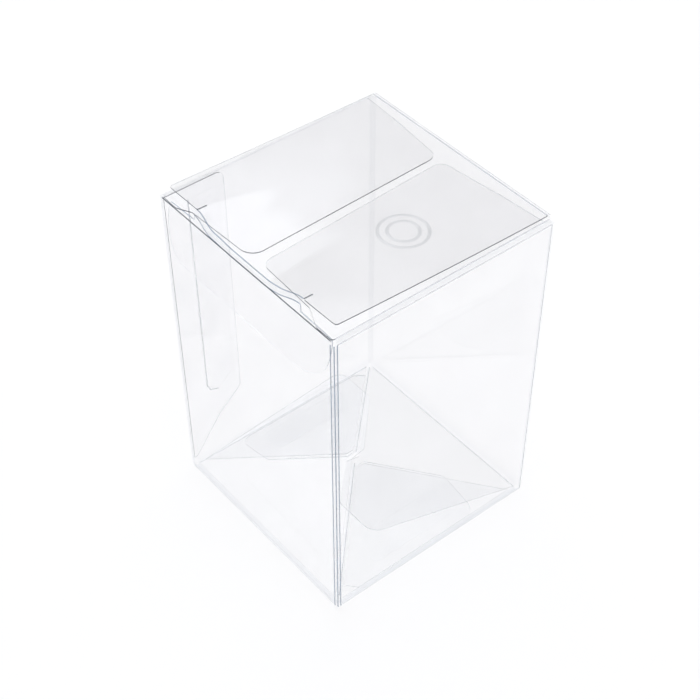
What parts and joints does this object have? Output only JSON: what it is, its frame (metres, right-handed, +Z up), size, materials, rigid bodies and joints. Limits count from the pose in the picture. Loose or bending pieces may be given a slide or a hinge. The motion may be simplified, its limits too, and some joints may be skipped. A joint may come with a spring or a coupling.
{
  "type": "card deck box",
  "caption": "Clear folding carton for a deck of cards, with a hinged tuck-in lid, two dust flaps, a glued side seam and a self-locking base.",
  "frame": {"origin": "centre of the base outline, on the plane that the carton stands on", "axes": "+Z up through the lid, -Y out of the front panel that the tuck flap slips behind, +X right; the lid is hinged at +Y"},
  "size_m": [0.068, 0.068, 0.1],
  "materials": {
    "sheet": "clear glossy PET sheet",
    "crease": "creased clear PET, slightly frosted by the fold",
    "glue": "clear glue line between two sheets"
  },
  "bodies": {
    "carton": {"front_panel": "sheet", "right_panel": "sheet", "back_panel": "sheet", "left_panel": "sheet", "seam_corner_crease": "crease", "front_right_crease": "crease", "back_right_crease": "crease", "back_left_crease": "crease", "glue_flap": "sheet", "seam_glue": "glue", "lid_crease": "crease", "right_dust_crease": "crease", "left_dust_crease": "crease", "front_bottom_crease": "crease", "right_bottom_crease": "crease", "back_bottom_crease": "crease", "left_bottom_crease": "crease"},
    "lid": {"lid_panel": "sheet", "tuck_crease": "crease"},
    "tuck": {"tuck_flap": "sheet"},
    "right_dust": {"right_dust_flap": "sheet"},
    "left_dust": {"left_dust_flap": "sheet"},
    "front_base": {"front_bottom_flap": "sheet", "front_tab_crease": "crease"},
    "back_base": {"back_bottom_flap": "sheet", "back_tab_crease": "crease"},
    "right_base": {"right_bottom_flap": "sheet", "front_glue_tab": "sheet", "front_tab_glue": "glue"},
    "left_base": {"left_bottom_flap": "sheet", "back_glue_tab": "sheet", "back_tab_glue": "glue"}
  },
  "joints": [
    {"name": "lid_hinge", "type": "hinge", "parent": "carton", "child": "lid", "pos_m": [0, 0.03385, 0.09985], "axis": [-1, 0, 0], "range_deg": [0, 180], "deforming": ["lid_crease"]},
    {"name": "tuck_hinge", "type": "hinge", "parent": "lid", "child": "tuck", "pos_m": [0, -0.03345, 0.09985], "axis": [1, 0, 0], "range_deg": [0, 45], "stiffness_Nm_per_rad": 0.02, "deforming": ["tuck_crease"]},
    {"name": "right_dust_hinge", "type": "hinge", "parent": "carton", "child": "right_dust", "pos_m": [0.033, 0, 0.09925], "axis": [0, -1, 0], "range_deg": [0, 90], "stiffness_Nm_per_rad": 0.02, "deforming": ["right_dust_crease"]},
    {"name": "left_dust_hinge", "type": "hinge", "parent": "carton", "child": "left_dust", "pos_m": [-0.033, 0, 0.09925], "axis": [0, 1, 0], "range_deg": [0, 90], "stiffness_Nm_per_rad": 0.02, "deforming": ["left_dust_crease"]},
    {"name": "front_base_hinge", "type": "hinge", "parent": "carton", "child": "front_base", "pos_m": [0, -0.0323, 0.00051], "axis": [1, 0, 0], "range_deg": [-3, 12], "stiffness_Nm_per_rad": 0.03, "deforming": ["front_tab_crease"]},
    {"name": "back_base_hinge", "type": "hinge", "parent": "carton", "child": "back_base", "pos_m": [0, 0.0323, 0.00051], "axis": [-1, 0, 0], "range_deg": [-3, 12], "stiffness_Nm_per_rad": 0.03, "deforming": ["back_tab_crease"]},
    {"name": "right_base_hinge", "type": "hinge", "parent": "carton", "child": "right_base", "pos_m": [0.0323, 0, 0.00051], "axis": [0, 1, 0], "range_deg": [-3, 12], "stiffness_Nm_per_rad": 0.03},
    {"name": "left_base_hinge", "type": "hinge", "parent": "carton", "child": "left_base", "pos_m": [-0.0323, 0, 0.00051], "axis": [0, -1, 0], "range_deg": [-3, 12], "stiffness_Nm_per_rad": 0.03}
  ],
  "couplings": [
    {"joint": "back_base_hinge", "follows": "front_base_hinge", "ratio": 1},
    {"joint": "right_base_hinge", "follows": "front_base_hinge", "ratio": 1},
    {"joint": "left_base_hinge", "follows": "front_base_hinge", "ratio": 1}
  ]
}
